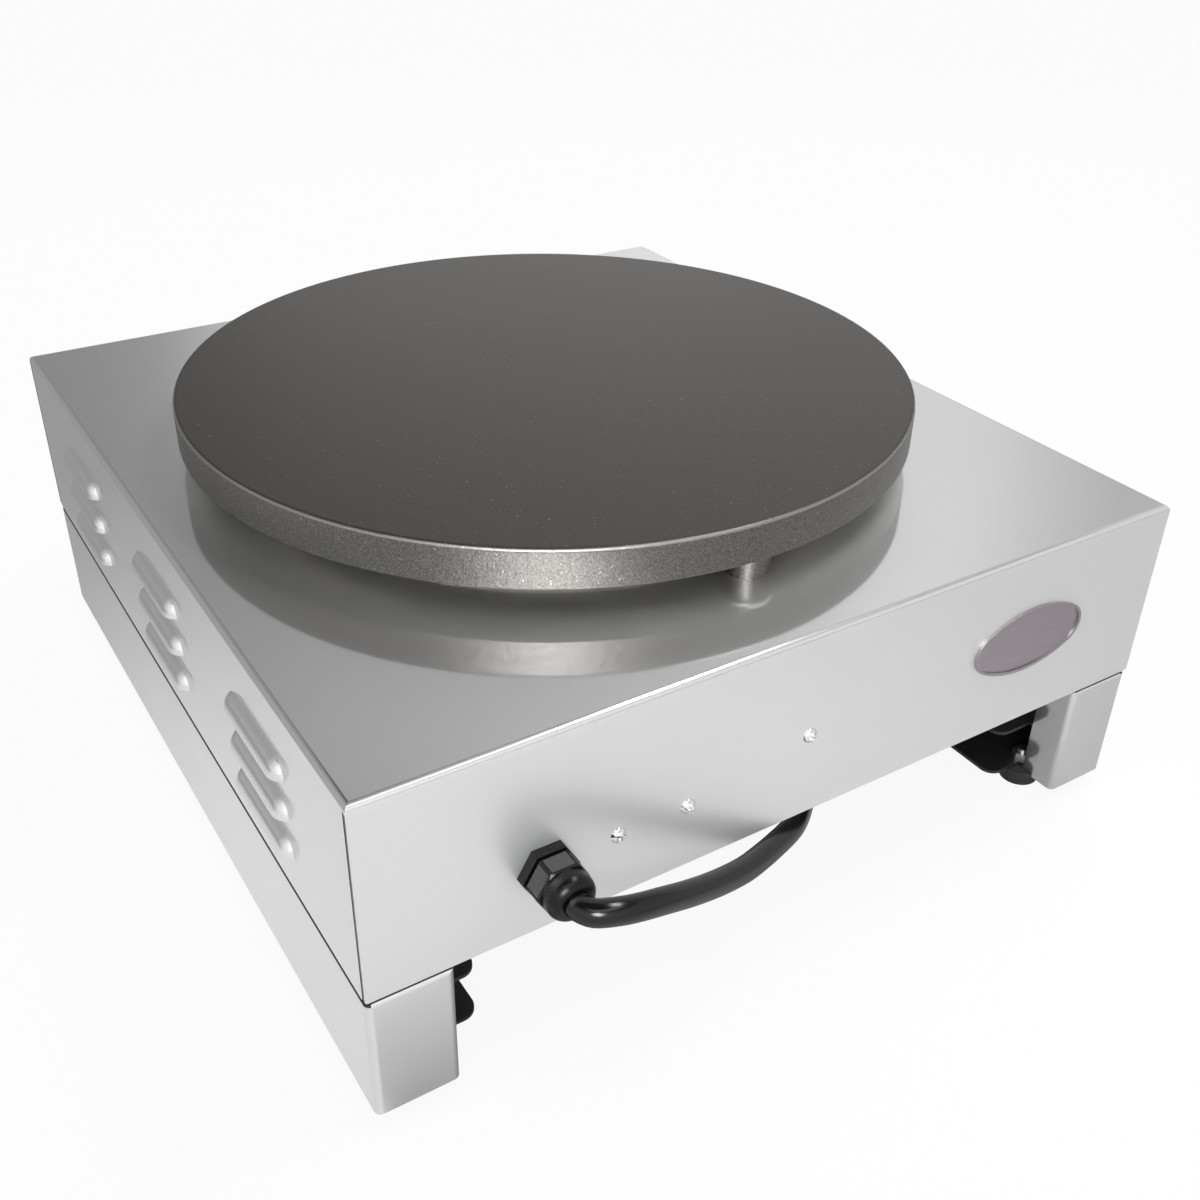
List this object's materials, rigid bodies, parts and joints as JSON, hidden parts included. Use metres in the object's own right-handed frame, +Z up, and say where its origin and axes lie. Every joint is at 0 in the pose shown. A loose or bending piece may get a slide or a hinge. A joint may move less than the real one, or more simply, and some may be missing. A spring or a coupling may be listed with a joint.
{
  "type": "electric crepe griddle",
  "caption": "Single-plate electric crepe griddle: round cast-iron plate on a louvred stainless housing with side legs, thermostat, switch and mains lead.",
  "frame": {"origin": "on the worktop, below the middle of the appliance's box", "axes": "+Z up, the controls face -Y, the mains lead leaves at +Y"},
  "size_m": [0.466, 0.5555, 0.215],
  "materials": {
    "stainless_sheet": "fine brushed stainless sheet",
    "mill_sheet": "dull mill-finish sheet",
    "black_paint": "black textured paint",
    "cast_iron": "seasoned cast iron, fine grain on the rim",
    "zinc_steel": "zinc-plated",
    "bright_screw": "bright stainless screw heads",
    "element_sheath": "heat-tinted tubular element",
    "ceramic_fibre": "pressed ceramic fibre",
    "foot_rubber": "matt black rubber",
    "lead_rubber": "satin black rubber sheath",
    "gland_nylon": "black nylon",
    "plug_rubber": "moulded black rubber",
    "black_plastic": "black phenolic",
    "rocker_plastic": "dark red gloss",
    "green_lens": "clear green",
    "amber_lens": "clear amber",
    "white_ceramic": "off-white steatite",
    "copper_tube": "drawn copper",
    "brass_metal": "turned brass",
    "dial_metal": "brushed aluminium with printed figures",
    "badge_metal": "brushed aluminium, bare"
  },
  "bodies": {
    "base": {"housing": "stainless_sheet", "base_plate": "mill_sheet", "side_leg_left": "stainless_sheet", "side_leg_right": "stainless_sheet", "foot_rail_left": "black_paint", "foot_rail_right": "black_paint", "foot_front_left": "foot_rubber", "foot_front_right": "foot_rubber", "foot_rear_left": "foot_rubber", "foot_rear_right": "foot_rubber", "foot_bolts": "zinc_steel", "base_screws": "zinc_steel", "griddle_plate": "cast_iron", "outer_element": "element_sheath", "inner_element": "element_sheath", "clamp_plate": "mill_sheet", "clamp_studs": "zinc_steel", "clamp_nuts": "zinc_steel", "insulation_pad": "ceramic_fibre", "heat_shield": "mill_sheet", "plate_bolts": "zinc_steel", "thermostat_body": "white_ceramic", "thermostat_nut": "zinc_steel", "thermostat_bulb": "copper_tube", "limiter_body": "white_ceramic", "limiter_bulb": "copper_tube", "dial_plate": "dial_metal", "switch_housing": "black_plastic", "lamp_bodies": "black_plastic", "power_lamp_lens": "green_lens", "heating_lamp_lens": "amber_lens", "terminal_block": "white_ceramic", "back_panel_screws": "bright_screw", "earth_stud": "brass_metal", "gland_body": "gland_nylon", "gland_locknut": "gland_nylon", "gland_seal": "lead_rubber", "gland_cap": "gland_nylon", "inner_lead": "lead_rubber", "power_cord": "lead_rubber", "cord_coil": "lead_rubber", "cord_tail": "lead_rubber", "mains_plug": "plug_rubber", "plug_pins": "brass_metal", "badge_plate": "badge_metal"},
    "thermostat_knob": {"thermostat_knob": "black_plastic", "thermostat_shaft": "brass_metal"},
    "power_rocker": {"switch_rocker": "rocker_plastic"}
  },
  "joints": [
    {"name": "thermostat_turn", "type": "hinge", "parent": "base", "child": "thermostat_knob", "pos_m": [0.075, -0.245, 0.129], "axis": [0, 1, 0], "range_deg": [0, 270]},
    {"name": "power_switch", "type": "hinge", "parent": "base", "child": "power_rocker", "pos_m": [-0.075, -0.245, 0.129], "axis": [-1, 0, 0], "range_deg": [0, 16]}
  ]
}
